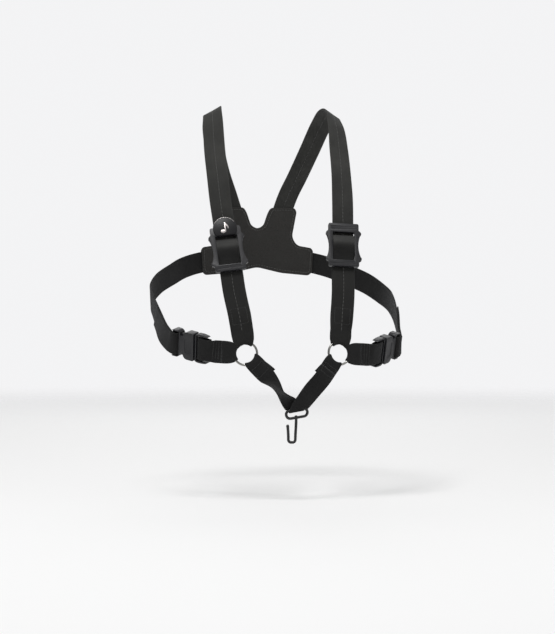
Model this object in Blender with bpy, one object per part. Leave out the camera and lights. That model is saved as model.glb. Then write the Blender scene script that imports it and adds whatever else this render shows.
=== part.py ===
"""Saxophone harness: two shoulder bands with sliders, two rings, side release buckles, back yoke and hook.

The harness is modelled as it hangs on a wearer. +Z is up and the wearer faces -Y. The origin lies midway
between the two shoulder crests, at the underside of the bands. "left" is -X and "right" is +X.
"""

import math

import bmesh
import bpy
import numpy as np
from mathutils import Matrix, Vector

MM = 0.001
GAP = 0.3 * MM  # between pieces that touch on the real object
SIDES = {"left": -1, "right": 1}

# Webbing
BAND_WIDTH = 24 * MM
BAND_THICK = 2.0 * MM
STRAP_WIDTH = 25 * MM
STRAP_THICK = 1.6 * MM
V_WIDTH = 20 * MM
V_THICK = 1.5 * MM
SPACING = 6 * MM  # between the sections of a strap
LOOP_WIDTH = 11 * MM  # webbing gathered where it turns round a ring
LOOP_ROOM = 0.5 * MM  # between that webbing and the wire
LAYER_GAP = 0.5 * MM  # between two layers of one strap
TURN_STEPS = 8

# The flat stretch of each shoulder band on top of the shoulder: two points in millimetres
CREST = ((69, 20, 1.1), (71, 4, 0.63))
CREST_FACE = (0.5, 0, 0.866)

# Rings
RING_RADIUS = 12.75 * MM
RING_WIRE = 1.25 * MM
RING_CENTRE = Vector((52.6, -113, -277)) * MM
RING_FACE = Vector((0.201, -0.966, 0.161)).normalized()
RING_UP = Vector((0.116, 0.185, 0.976))

# Sliders: three bars across two rails
SLIDE_TOP = Vector((70.8, -52, -104)) * MM
SLIDE_LOW = Vector((62.3, -94, -207)) * MM
ABOVE_RING = Vector((57.6, -105.5, -238)) * MM  # the band on its way from the slider to the ring
SLIDER_AT = {"left": 0.568, "right": 0.515}  # where each slider sits along that straight stretch
SLIDER_SPLAY = {"left": Vector((0.105, -1, 0.1)), "right": Vector((-0.085, -1, 0.1))}
SLIDER_THICK = 4.3 * MM
WINDOW = ((-12.4, 15.9), (12.4, 15.9), (12.4, -18.9), (-12.4, -18.9))  # millimetres
BAR_TOP = 1.5 * MM
BAR_LOW = -3.0 * MM
BAR_BACK = 1.9 * MM
BADGE_RADIUS = 13.5 * MM
BADGE_UP = 24.6 * MM
BADGE_CUT = 8.7 * MM
BADGE_THICK = 1.4 * MM

# Buckles: x runs outboard from the mouth, y across, z to the front. They are drawn 30 mm wide and made 32 mm.
DRAWN = 1.08 * MM
MOUTH = {"left": Vector((104.1, -91.9, -269.8)) * MM, "right": Vector((106.4, -92, -274.4)) * MM}
BUCKLE_AXIS = Vector((0.72, 0.66, 0.21)).normalized()
BUCKLE_FACE = Vector((0.692, -0.674, -0.254))
BUCKLE_HALF = 4.75 * DRAWN
SOCKET_HALF = 3.0 * DRAWN
MALE_BAR = -6.4 * DRAWN
MALE_TURN = 3.0 * MM
LADDER_BAR = (21.0 * DRAWN, 22.8 * DRAWN)
PRONG_ROOT = 8.3 * DRAWN

# Hook: x along the top wire of the eye, z up
HOOK_PLACE = Vector((4.0, -113, -338.6)) * MM
EYE_TILT = math.radians(9)
HOOK_WIRE = 1.5 * MM
EYE_STRAIGHT = 7.5 * MM
EYE_BEND = 4.5 * MM
STEM_LENGTH = 24.2 * MM
BOWL_RADIUS = 3.1 * MM
BOWL_FLAT = 1.6 * MM
TIP_RISE = 15.6 * MM
V_GATHER = 8.5 * MM

# Back yoke
YOKE_Y = 103 * MM
LINING_THICK = 1.5 * MM
LEATHER_THICK = 2.2 * MM


def clear_scene():
    for thing in list(bpy.data.objects):
        bpy.data.objects.remove(thing, do_unlink=True)


def material(name, colour, roughness, metallic=0.0):
    made = bpy.data.materials.new(name)
    made.use_nodes = True
    shader = made.node_tree.nodes["Principled BSDF"]
    shader.inputs["Base Color"].default_value = (*colour, 1)
    shader.inputs["Roughness"].default_value = roughness
    shader.inputs["Metallic"].default_value = metallic
    made.diffuse_color = (*colour, 1)
    return made


def mirrored(vector, side):
    return Vector((vector[0] * side, vector[1], vector[2]))


def across(vector, normal):
    """The part of a vector that is square to a unit normal, at unit length."""
    return (vector - normal * vector.dot(normal)).normalized()


def placed(x_axis, y_axis, origin):
    """The matrix of a right-handed frame."""
    z_axis = x_axis.cross(y_axis)
    turn = Matrix((x_axis, y_axis, z_axis)).transposed().to_4x4()
    return Matrix.Translation(origin) @ turn


def add_object(name, mesh, finish, matrix=None):
    thing = bpy.data.objects.new(name, mesh)
    bpy.context.scene.collection.objects.link(thing)
    mesh.materials.append(finish)
    thing.matrix_world = matrix or Matrix.Identity(4)
    return thing


def mesh_of(name, bm):
    bmesh.ops.recalc_face_normals(bm, faces=bm.faces)
    mesh = bpy.data.meshes.new(name)
    bm.to_mesh(mesh)
    bm.free()
    return mesh


def cut(thing, mesh_made, operation="DIFFERENCE"):
    """Cuts a mesh from an object, or joins it, in the object's own frame."""
    helper = bpy.data.objects.new(thing.name + "_helper", mesh_made)
    bpy.context.scene.collection.objects.link(helper)
    helper.matrix_world = thing.matrix_world
    helper.hide_render = True
    helper.display_type = "WIRE"
    step = thing.modifiers.new(operation.lower(), "BOOLEAN")
    step.operation = operation
    step.solver = "EXACT"
    step.object = helper


def soften(thing, width, segments=1, angle=40):
    step = thing.modifiers.new("bevel", "BEVEL")
    step.width = width
    step.segments = segments
    step.limit_method = "ANGLE"
    step.angle_limit = math.radians(angle)


def plate(name, outline, low, high):
    """A closed mesh: an outline in the xy plane, from one height to another."""
    bm = bmesh.new()
    face = bm.faces.new([bm.verts.new((x, y, low)) for x, y in outline])
    found = bmesh.ops.extrude_face_region(bm, geom=[face])["geom"]
    lifted = [v for v in found if isinstance(v, bmesh.types.BMVert)]
    bmesh.ops.translate(bm, verts=lifted, vec=(0, 0, high - low))
    return mesh_of(name, bm)


def block(name, x, y, z):
    outline = [(x[0], y[0]), (x[1], y[0]), (x[1], y[1]), (x[0], y[1])]
    return plate(name, outline, *z)


def arc(centre, radius, start, end, steps):
    """Points of an arc in the plane, with angles in degrees."""
    angles = [math.radians(start + (end - start) * i / steps) for i in range(steps + 1)]
    return [(centre[0] + radius * math.cos(a), centre[1] + radius * math.sin(a)) for a in angles]


def rounded(points, radius, steps=3, unit=MM):
    """A closed outline in a drawing's units with every corner rounded, in metres."""
    found = []
    for i, corner in enumerate(points):
        here = Vector(corner)
        before = Vector(points[i - 1]) - here
        after = Vector(points[(i + 1) % len(points)]) - here
        reach = min(radius, 0.45 * before.length, 0.45 * after.length)
        first = here + before.normalized() * reach
        last = here + after.normalized() * reach
        for k in range(steps + 1):
            t = k / steps
            spot = first * (1 - t) ** 2 + here * 2 * t * (1 - t) + last * t**2
            found.append((spot.x * unit, spot.y * unit))
    return found


def both_halves(half):
    """A closed outline from its half at positive x, listed from the top down."""
    return half + [(-x, y) for x, y in reversed(half) if abs(x) > 1e-6]


# ---------------------------------------------------------------- webbing


def station(place, facing, width):
    return np.array([*place, *facing, width])


def keyed(rows, width, side):
    """Stations from places in millimetres and facings, listed for the right side."""
    mirror = np.array([side, 1, 1, side, 1, 1, 1])
    return [station(np.array(place) * MM, facing, width) * mirror for place, facing in rows]


def smooth(keys):
    """Stations along a smooth curve through the key stations."""
    keys = np.array(keys)
    reach = np.linalg.norm(np.diff(keys[:, :3], axis=0), axis=1)
    along = np.concatenate([[0], np.cumsum(reach)])
    slope = np.gradient(keys, along, axis=0)
    found = []
    for i, length in enumerate(reach):
        steps = max(1, math.ceil(length / SPACING))
        for k in range(steps):
            t = k / steps
            found.append(
                (2 * t**3 - 3 * t**2 + 1) * keys[i]
                + (t**3 - 2 * t**2 + t) * length * slope[i]
                + (3 * t**2 - 2 * t**3) * keys[i + 1]
                + (t**3 - t**2) * length * slope[i + 1]
            )
    return [*found, keys[-1]]


def half_turn(centre, apex, normal, radius, width, advance=None, flip=1):
    """Half a turn round a bar, from the side of the normal, past the apex, to the other side."""
    found = []
    for i in range(TURN_STEPS + 1):
        angle = math.pi * i / TURN_STEPS
        out = normal * math.cos(angle) + apex * math.sin(angle)
        place = centre + out * radius
        if advance:
            place += advance * (i / TURN_STEPS - 0.5)
        found.append(station(place, out * flip, width))
    return found


def turned_over(rows, offset):
    """A second layer of a strap: a stretch of its stations moved along their normals, listed backwards."""
    places = np.array(rows)[:, :3]
    found = []
    for row, forward in zip(rows, np.gradient(places, axis=0)):
        normal = across(Vector(row[3:6]), Vector(forward).normalized())
        found.append(station(Vector(row[:3]) + normal * offset, -normal, row[6]))
    return found[::-1]


def ribbon(name, stations, thick, finish):
    """Flat webbing: a rectangle swept along the stations."""
    places = np.array(stations)[:, :3]
    ahead = np.gradient(places, axis=0)
    bm = bmesh.new()
    rows = []
    for row, forward in zip(stations, ahead):
        forward = Vector(forward).normalized()
        normal = across(Vector(row[3:6]), forward)
        half_width = forward.cross(normal) * (row[6] / 2)
        half_thick = normal * (thick / 2)
        middle = Vector(row[:3])
        corners = ((1, 1), (1, -1), (-1, -1), (-1, 1))
        rows.append([bm.verts.new(middle + half_width * a + half_thick * b) for a, b in corners])
    wide_faces = []
    for lower, upper in zip(rows, rows[1:]):
        sides = [bm.faces.new((lower[i], lower[i - 3], upper[i - 3], upper[i])) for i in range(4)]
        wide_faces += sides[1::2]
    bmesh.ops.poke(bm, faces=wide_faces)
    bm.faces.new(rows[0])
    bm.faces.new(rows[-1][::-1])
    return add_object(name, mesh_of(name, bm), finish)


def slide_frame(side):
    """Origin, direction up the band and facing of the straight stretch that a slider runs on."""
    top = mirrored(SLIDE_TOP, side)
    low = mirrored(SLIDE_LOW, side)
    up = (top - low).normalized()
    facing = across(mirrored(SLIDER_SPLAY[side_name(side)], side), up)
    return top + (low - top) * SLIDER_AT[side_name(side)], up, facing


def ring_frame(side):
    """Centre, upward direction and facing of a ring."""
    facing = mirrored(RING_FACE, side)
    return mirrored(RING_CENTRE, side), across(mirrored(RING_UP, side), facing), facing


def ring_loop(side, toward, thick, width, flip=1):
    """Webbing round a ring: from its full width in front, through the ring, to its turned back layer."""
    centre, _, facing = ring_frame(side)
    toward = across(toward, facing)
    fold = math.sqrt(RING_RADIUS**2 - (LOOP_WIDTH / 2) ** 2)
    offset = RING_WIRE + LOOP_ROOM + thick / 2
    close = (thick + LAYER_GAP) / 2

    def at(distance, depth, wide):
        spot = centre + toward * distance + facing * depth
        return station(spot, facing * flip * (1 if depth > 0 else -1), wide)

    past = RING_RADIUS + RING_WIRE + 4 * MM
    full = past + 11 * MM
    turn = half_turn(centre + toward * fold, -toward, facing, offset, LOOP_WIDTH, flip=flip)
    front = [at(full, close, width), at(past, offset, LOOP_WIDTH + 2 * MM)]
    back = at(past, -offset, LOOP_WIDTH + 2 * MM)
    return front, turn, back


def shoulder_band(side, finish):
    """From the back yoke over the shoulder, down in front, round the ring and back up behind itself."""
    wide = BAND_WIDTH
    back_keys = [
        ((22, 103, -138), (0, 1, 0)),
        ((27, 103, -121), (0, 1, 0)),
        ((32, 103, -105), (0, 1, 0)),
        ((34, 102.8, -99), (0, 1, 0.03)),
        ((38, 101, -88), (0.04, 0.96, 0.24)),
        ((46.5, 92, -68), (0.15, 0.85, 0.5)),
        ((58, 70, -36), (0.3, 0.62, 0.72)),
        ((66, 43, -9), (0.44, 0.3, 0.85)),
    ]
    crest_back, crest_front = np.array(CREST)
    crest = [(crest_back + (crest_front - crest_back) * t, CREST_FACE) for t in (0, 1 / 3, 2 / 3, 1)]
    front_keys = [
        ((72.3, -9, -12), (0.45, -0.5, 0.74)),
        ((72.9, -24, -44), (0.25, -0.87, 0.42)),
        ((72.0, -41, -78), (0.14, -0.92, 0.38)),
    ]

    _, _, facing = slide_frame(side)
    half_thick = np.array(facing) * (BAND_THICK / 2)
    straight = [station(mirrored(spot, side), facing, wide) for spot in (SLIDE_TOP, SLIDE_LOW)]
    for row in straight:
        row[:3] -= half_thick
    _, ring_up, _ = ring_frame(side)
    front, turn, back = ring_loop(side, ring_up, BAND_THICK, wide)
    middle = station(mirrored(ABOVE_RING, side), facing, wide)
    to_ring = smooth([straight[1], middle, front[0]])
    tail_end = straight[0] * 0.42 + straight[1] * 0.58
    stations = smooth(keyed([*back_keys, crest[0]], wide, side))[:-1] + keyed(crest[:3], wide, side)
    stations += smooth(keyed([crest[3], *front_keys], wide, side) + straight[:1])
    stations += to_ring[:-1] + smooth(front)[:-1] + turn[:-1]
    layer = turned_over([tail_end, *to_ring], -BAND_THICK - LAYER_GAP)
    stations += smooth([turn[-1], back, layer[0]])[:-1] + layer
    return ribbon(f"{side_name(side)}_shoulder_band", stations, BAND_THICK, finish)


def side_name(side):
    return "left" if side < 0 else "right"


def buckle_spot(side, x, y, z):
    """A point of a buckle's own frame, and that frame's axes."""
    axis = mirrored(BUCKLE_AXIS, side)
    facing = across(mirrored(BUCKLE_FACE, side), axis)
    up = facing.cross(axis) * side
    mouth = mirrored(MOUTH[side_name(side)], side)
    return mouth + axis * x + up * y + facing * z, axis, up, facing


def chest_strap(side, finish):
    """A short strap from the ring to the male half, turned back and sewn behind at both ends."""
    wide = STRAP_WIDTH
    bar, axis, _, facing = buckle_spot(side, MALE_BAR, 0, 0)
    centre, _, _ = ring_frame(side)
    near_bar = -axis * 10 * MM
    front, turn, back = ring_loop(side, bar + near_bar * 1.5 - centre, STRAP_THICK, wide)
    far = half_turn(bar, axis, facing, MALE_TURN, wide)
    ahead = station(bar + near_bar + facing * 1.6 * MM, facing, wide)
    behind = station(bar + near_bar - facing * 1.6 * MM, -facing, wide)
    run = smooth([front[1], front[0], ahead, far[0]])
    layer = turned_over(run[:4], -STRAP_THICK - LAYER_GAP * 2)[1]
    stations = smooth([layer, back, turn[-1]])[:-1] + turn[::-1][:-1]
    stations += [turn[0], *run[:-1]]
    stations += far[:-1] + smooth([far[-1], behind])
    return ribbon(f"{side_name(side)}_chest_strap", stations, STRAP_THICK, finish)


def side_strap(side, finish):
    """From the female half, where it is woven round the ladder bar, past the wearer's side to the yoke."""
    wide = STRAP_WIDTH
    leaving = MOUTH[side_name(side)].z / MM + 9.5
    route = [
        ((136, -60, leaving), (0.9, -0.43, -0.08)),
        ((140.8, -36, -248), (0.985, -0.17, 0)),
        ((142.5, -10, -233), (1, 0, 0)),
        ((142, 11, -221), (0.97, 0.2, 0)),
        ((138, 33, -209), (0.9, 0.42, 0)),
        ((126.5, 56, -197), (0.75, 0.65, 0)),
        ((108, 78, -186), (0.55, 0.83, 0)),
        ((92, 94, -177.5), (0.36, 0.93, 0)),
        ((77, 102, -172.5), (0.1, 1, 0)),
        ((71, 103, -171), (0, 1, 0)),
        ((56, 103, -168.5), (0, 1, 0)),
        ((34, 103, -165), (0, 1, 0)),
    ]
    _, axis, _, facing = buckle_spot(side, 0, 0, 0)

    def weave(x, z, out_x, out_z):
        spot = buckle_spot(side, x * DRAWN, 0, z * DRAWN)[0]
        return station(spot, axis * out_x + facing * out_z, wide)

    over_bar = [
        weave(26, 8.0, 0, -1),
        weave(21.6, 7.2, 0.3, -1),
        weave(20.0, 5.2, 1, -0.4),
        weave(19.8, 2.5, 1, 0),
        weave(19.8, -0.5, 1, 0.1),
        weave(20.3, -2.3, 0.7, 0.7),
        weave(21.9, -3.0, 0, 1),
        weave(23.5, -2.3, -0.7, 0.7),
        weave(24.0, -0.5, -1, 0.1),
        weave(24.0, 2.0, -1, 0),
        weave(24.2, 3.6, -1, 0.3),
        weave(25.7, 5.1, -0.3, 1),
    ]
    run = smooth([weave(29, 5.4, 0.1, 1), *keyed(route, wide, side)])
    tail = turned_over(run[:10], STRAP_THICK + LAYER_GAP)
    stations = tail[:-1] + smooth([tail[-1], *over_bar, run[0]])[:-1] + run
    return ribbon(f"{side_name(side)}_side_strap", stations, STRAP_THICK, finish)


def v_strap(finish):
    """One webbing from ring to ring, folded through the eye of the hook."""
    wire = Vector((math.cos(EYE_TILT), 0, math.sin(EYE_TILT)))
    down = Vector((wire.z, 0, -wire.x))
    front_way = Vector((0, -1, 0))
    radius = HOOK_WIRE + LOOP_ROOM + V_THICK / 2
    step = wire * -4.5 * MM
    fold = half_turn(HOOK_PLACE, down, front_way, radius, V_GATHER, step)
    ends = {}
    for side in SIDES.values():
        centre, _, _ = ring_frame(side)
        hook_way = HOOK_PLACE - centre
        flip = 1 if side > 0 else -1
        ends[side] = ring_loop(side, hook_way, V_THICK, V_WIDTH, flip)

    def between(ring_end, hook_end, depth):
        """Two stations on the free stretch, drawn in towards the eye."""
        near = hook_end * 0.72 + ring_end * 0.28
        near[:3] += np.array([0, depth, 0]) * MM
        near[6] = V_GATHER + 3 * MM
        far = hook_end * 0.4 + ring_end * 0.6
        far[6] = V_WIDTH
        return far, near

    front, turn, back = ends[1]
    far, near = between(front[0], fold[0], -1.5)
    run = smooth([front[0], far, near, fold[0]])
    layer = turned_over(run[:3], -V_THICK - LAYER_GAP)
    stations = layer[:-1] + smooth([layer[-1], back, turn[-1]])[:-1] + turn[::-1][:-1]
    stations += smooth([turn[0], front[1], front[0]])[:-1] + run[:-1] + fold[:-1]
    front, turn, back = ends[-1]
    far, near = between(front[0], fold[-1], 1.5)
    run = smooth([fold[-1], near, far, front[0]])
    layer = turned_over(run[-3:], V_THICK + LAYER_GAP)
    stations += run[:-1] + smooth([front[0], front[1], turn[0]])[:-1] + turn[:-1]
    stations += smooth([turn[-1], back, layer[0]])[:-1] + layer
    return ribbon("v_strap", stations, V_THICK, finish)


# ---------------------------------------------------------------- sliders


def slider_outline():
    top = [(0, 26.6), (15.6, 26.6), (16.9, 26.1), (17.4, 24.9), (17.4, 18.2), (20.0, 15.4), (20.2, 13.6)]
    half = [(x * MM, y * MM) for x, y in top]
    half += arc((53.7 * MM, -1.2 * MM), 37 * MM, 157.2, 202.2, 8)
    low = [(20.4, -16.0), (20.1, -18.6), (17.4, -20.2), (17.4, -24.9), (16.9, -26.1), (15.6, -26.6)]
    half += [(x * MM, y * MM) for x, y in [*low, (0, -26.6)]]
    return both_halves(half)


def slider(side, finish):
    place, up, facing = slide_frame(side)
    matrix = placed(up.cross(facing), up, place + facing * GAP)
    thing = add_object(
        f"{side_name(side)}_slider", plate("slider", slider_outline(), 0, SLIDER_THICK), finish, matrix
    )
    cut(thing, plate("window", rounded(WINDOW, 1.2), -MM, SLIDER_THICK + MM))
    bar = block("bar", (-14 * MM, 14 * MM), (BAR_LOW, BAR_TOP), (BAR_BACK, SLIDER_THICK))
    cut(thing, bar, "UNION")
    soften(thing, 0.5 * MM, 2)
    return thing


def slider_wrap(side, finish):
    """The band's sewn end round the middle bar of a slider, with its tail behind the bar."""
    place, up, facing = slide_frame(side)
    origin = place + facing * GAP
    thick = 1.4 * MM
    room = 0.3 * MM

    def at(y, z, out_y, out_z):
        return station(origin + up * y + facing * z, up * out_y + facing * out_z, BAND_WIDTH)

    inner = BAR_BACK - room - thick / 2
    outer = SLIDER_THICK + room + thick / 2
    high = BAR_TOP + room + thick / 2
    low = BAR_LOW - room - thick / 2
    bend = 1.0 * MM
    path = [
        at(-16.5 * MM, inner, 0, -1),
        at(-10 * MM, inner, 0, -1),
        at(high - bend, inner, 0, -1),
        at(high, inner + bend, 1, -0.3),
        at(high, outer - bend, 1, 0.3),
        at(high - bend, outer, 0.2, 1),
        at(low + bend, outer, -0.2, 1),
        at(low, outer - bend, -1, 0.3),
        at(low, outer - 2.2 * MM, -1, 0),
    ]
    return ribbon(f"{side_name(side)}_slider_wrap", path, thick, finish)


def badge(finish, metal):
    """A round badge with a flat foot on the top bar of the left slider, with its rim and a music note."""
    place, up, facing = slide_frame(-1)
    base = place + facing * (GAP * 2 + SLIDER_THICK)
    matrix = placed(up.cross(facing), up, base + up * BADGE_UP)
    foot = math.degrees(math.asin(BADGE_CUT / BADGE_RADIUS))
    disc = arc((0, 0), BADGE_RADIUS, -foot, 180 + foot, 40)
    body = add_object("slider_badge", plate("badge", disc, 0, BADGE_THICK), finish, matrix)
    soften(body, 0.4 * MM)
    lift = BADGE_THICK + 0.15 * MM
    line = arc((0, 0), 12.9 * MM, -10, 190, 36) + arc((0, 0), 12.2 * MM, 190, -10, 36)
    add_object("badge_rim", plate("rim", line, lift, lift + 0.35 * MM), metal, matrix)
    note = music_note()
    add_object("badge_note", plate("note", note, lift, lift + 0.35 * MM), metal, matrix)


def music_note():
    """The outline of an eighth note, in metres: an oval head, a stem and a flag."""
    head = [(x - 2.4, y * 0.78 - 4.0) for x, y in arc((0, 0), 2.7, 40, 335, 16)]
    stem_and_flag = [(0.9, -4.6), (0.9, 2.6), (2.6, 1.4), (3.0, -1.2), (4.0, -1.2), (3.9, 2.0), (1.6, 5.0)]
    top = [(0.9, 6.8), (-0.3, 6.8)]
    return [(x * MM, y * MM) for x, y in head + stem_and_flag + top]


# ---------------------------------------------------------------- rings, buckles, hook, yoke


def o_ring(side, finish):
    centre, up, facing = ring_frame(side)
    bm = bmesh.new()
    circle = [
        bm.verts.new((RING_RADIUS + RING_WIRE * math.cos(a), 0, RING_WIRE * math.sin(a)))
        for a in (math.tau * i / 10 for i in range(10))
    ]
    edges = [bm.edges.new((circle[i], circle[i - 1])) for i in range(10)]
    bmesh.ops.spin(
        bm, geom=circle + edges, cent=(0, 0, 0), axis=(0, 0, 1), angle=math.tau, steps=48, use_merge=True
    )
    bmesh.ops.remove_doubles(bm, verts=bm.verts, dist=1e-6)
    matrix = placed(up.cross(facing), up, centre)
    thing = add_object(f"{side_name(side)}_o_ring", mesh_of("ring", bm), finish, matrix)
    thing.data.shade_smooth()
    return thing


def buckle_matrix(side):
    place, axis, _, facing = buckle_spot(side, 0, 0, 0)
    return placed(axis, facing.cross(axis), place)


def upright(half):
    """A closed outline from its half at positive y, listed from the mouth outboard."""
    return half + [(x, -y) for x, y in reversed(half)]


def female_half(side, finish):
    grip = [(9.5, 14.8), (12.2, 12.6), (13.2, 9.4), (17.2, 9.4), (18.4, 12.8)]
    half = [(0.3, 14.8), *grip, (20.5, 15.1), (27.6, 14.6)]
    outline = rounded(upright(half), 1.6, 2, DRAWN)
    mesh = plate("female", outline, -BUCKLE_HALF, BUCKLE_HALF)
    thing = add_object(f"{side_name(side)}_buckle_female", mesh, finish, buckle_matrix(side))
    soften(thing, 0.9 * MM)
    inside = (-SOCKET_HALF, SOCKET_HALF)
    cut(thing, block("socket", (-MM, 18.2 * DRAWN), (-10.3 * DRAWN, 10.3 * DRAWN), inside))
    cut(thing, block("windows", (11.6 * DRAWN, 18.2 * DRAWN), (-20 * MM, 20 * MM), inside))
    cut(thing, block("relief", (18.7 * DRAWN, 34 * MM), (-13.2 * DRAWN, 13.2 * DRAWN), (3.2 * DRAWN, 6 * MM)))
    deep = (-6 * MM, 6 * MM)
    cut(thing, block("slot", (18.7 * DRAWN, 25.2 * DRAWN), (-12.9 * DRAWN, 12.9 * DRAWN), deep))
    bar = block("ladder", LADDER_BAR, (-13.6 * DRAWN, 13.6 * DRAWN), (-1.2 * DRAWN, 2.6 * DRAWN))
    cut(thing, bar, "UNION")
    return thing


def male_half(side, finish):
    half = [(-16.2, 14.6), (-13.5, 16.0), (-8, 16.7), (-3, 16.4), (-0.3, 14.4)]
    outline = rounded(upright(half), 1.4, 2, DRAWN)
    mesh = plate("male", outline, -3.4 * DRAWN, 3.4 * DRAWN)
    thing = add_object(f"{side_name(side)}_buckle_male", mesh, finish, buckle_matrix(side))
    soften(thing, 0.8 * MM)
    cut(thing, block("slot", (-20 * MM, -2.3 * DRAWN), (-13.7 * DRAWN, 13.7 * DRAWN), (-6 * MM, 6 * MM)))
    bar = rounded([(-7.8, -1.4), (-5.0, -1.4), (-5.0, 1.4), (-7.8, 1.4)], 0.7, 2, DRAWN)
    across_bar = plate("bar", bar, -14.8 * DRAWN, 14.8 * DRAWN)
    across_bar.transform(Matrix.Rotation(math.radians(90), 4, "X"))
    cut(thing, across_bar, "UNION")
    tongue = [(-2, -2.6), (14, -2.0), (16.5, -1.2), (16.5, 1.2), (14, 2.0), (-2, 2.6)]
    outline = [(x * DRAWN, y * DRAWN) for x, y in tongue]
    cut(thing, plate("tongue", outline, -1.8 * DRAWN, 1.8 * DRAWN), "UNION")
    return thing


def prong(side, level, finish):
    """One sprung prong, with its origin on the root that it flexes about."""
    place, axis, up, _ = buckle_spot(side, 0, 0, 0)
    up = up * (1 if level == "upper" else -1)
    matrix = placed(axis, up, place + up * PRONG_ROOT)
    outline = [(0.1, -1.4), (11.0, -1.1), (17.4, -0.9), (17.8, 1.0), (16.6, 3.2), (12.4, 3.8), (11.95, 3.6)]
    outline += [(11.95, 1.2), (3.0, 1.1), (0.1, 1.4)]
    mesh = plate("prong", [(x * DRAWN, y * DRAWN) for x, y in outline], -2.4 * DRAWN, 2.4 * DRAWN)
    return add_object(f"{side_name(side)}_prong_{level}", mesh, finish, matrix)


def tube(bm, path, radius, sides, closed):
    """A round wire along points that lie in the xz plane."""
    rows = []
    count = len(path)
    for i, spot in enumerate(path):
        before = path[i - 1] if closed or i else spot
        after = path[(i + 1) % count] if closed or i < count - 1 else spot
        forward = (after - before).normalized()
        side_way = Vector((0, 1, 0))
        other = side_way.cross(forward)
        turns = [math.tau * (k + 0.5) / sides for k in range(sides)]
        rim = [side_way * math.sin(a) + other * math.cos(a) for a in turns]
        rows.append([bm.verts.new(spot + out * radius) for out in rim])
    pairs = list(zip(rows, rows[1:]))
    if closed:
        pairs.append((rows[-1], rows[0]))
    for lower, upper in pairs:
        for k in range(sides):
            bm.faces.new((lower[k - 1], lower[k], upper[k], upper[k - 1]))
    if not closed:
        bm.faces.new(rows[0])
        bm.faces.new(rows[-1][::-1])


def in_xz(points):
    return [Vector((x, 0, z)) for x, z in points]


def hook(finish):
    """Bent wire: a flattened eye, a stem and an open J that the instrument's ring hangs in."""
    tilt = Matrix.Rotation(-EYE_TILT, 4, "Y")
    eye_points = arc((EYE_STRAIGHT, -EYE_BEND), EYE_BEND, 90, -90, 8)
    eye_points += arc((-EYE_STRAIGHT, -EYE_BEND), EYE_BEND, -90, -270, 8)
    bm = bmesh.new()
    tube(bm, [tilt @ spot for spot in in_xz(eye_points)], HOOK_WIRE, 10, True)
    thing = add_object("hook", mesh_of("eye", bm), finish, Matrix.Translation(HOOK_PLACE))
    stem_top = -2 * EYE_BEND
    bowl_z = stem_top - STEM_LENGTH
    stem_x = -0.9 * MM
    bend_x = stem_x - BOWL_RADIUS
    tip_x = bend_x - BOWL_FLAT - BOWL_RADIUS
    path = [(0, stem_top), (0, stem_top - 6 * MM), (stem_x, bowl_z + 3 * MM)]
    path += arc((bend_x, bowl_z), BOWL_RADIUS, 0, -90, 6)
    path += arc((bend_x - BOWL_FLAT, bowl_z), BOWL_RADIUS, -90, -180, 6)
    path += [(tip_x - 0.2 * MM, bowl_z + 8 * MM), (tip_x - 0.8 * MM, bowl_z + TIP_RISE)]
    bm = bmesh.new()
    tube(bm, in_xz(path), HOOK_WIRE, 10, False)
    cut(thing, mesh_of("stem", bm), "UNION")


def yoke_outline():
    half = [(0, -129), (8, -125), (13, -110), (17, -103), (46, -103), (49, -108), (43, -139), (49, -149)]
    half += [(67, -152), (69.5, -156), (68, -182), (64, -186), (30, -183), (0, -176)]
    closed_outline = half + [(-x, z) for x, z in reversed(half) if x]
    return rounded(closed_outline, 5, 2)


def yoke(leather, lining):
    """Two leather plates with the ends of the four straps sewn between them."""
    turn = Matrix.Rotation(math.radians(90), 4, "X")
    outline = yoke_outline()
    gap = BAND_THICK / 2 + GAP
    outer_y = YOKE_Y + gap + LEATHER_THICK
    outer = plate("yoke_outer", outline, 0, LEATHER_THICK)
    add_object("yoke_outer", outer, leather, Matrix.Translation((0, outer_y, 0)) @ turn)
    inner = plate("yoke_lining", outline, 0, LINING_THICK)
    add_object("yoke_lining", inner, lining, Matrix.Translation((0, YOKE_Y - gap, 0)) @ turn)


def main():
    clear_scene()
    webbing = material("webbing", (0.028, 0.028, 0.027), 0.85)
    strap_webbing = material("strap_webbing", (0.018, 0.018, 0.018), 0.8)
    plastic = material("plastic", (0.045, 0.045, 0.05), 0.4)
    steel = material("steel", (0.7, 0.7, 0.72), 0.25, 1.0)
    silver = material("silver_print", (0.6, 0.6, 0.62), 0.4, 0.8)
    coated = material("coated_wire", (0.012, 0.012, 0.013), 0.45)
    leather = material("leather", (0.03, 0.028, 0.026), 0.6)
    lining = material("lining", (0.05, 0.048, 0.045), 0.8)
    for side in SIDES.values():
        shoulder_band(side, webbing)
        slider(side, plastic)
        slider_wrap(side, webbing)
        o_ring(side, steel)
        chest_strap(side, strap_webbing)
        male_half(side, plastic)
        female_half(side, plastic)
        for level in ("upper", "lower"):
            prong(side, level, plastic)
        side_strap(side, strap_webbing)
    badge(plastic, silver)
    v_strap(strap_webbing)
    hook(coated)
    yoke(leather, lining)


main()
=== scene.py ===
import math

import bmesh
import bpy
import numpy as np
from mathutils import Matrix, Vector


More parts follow.
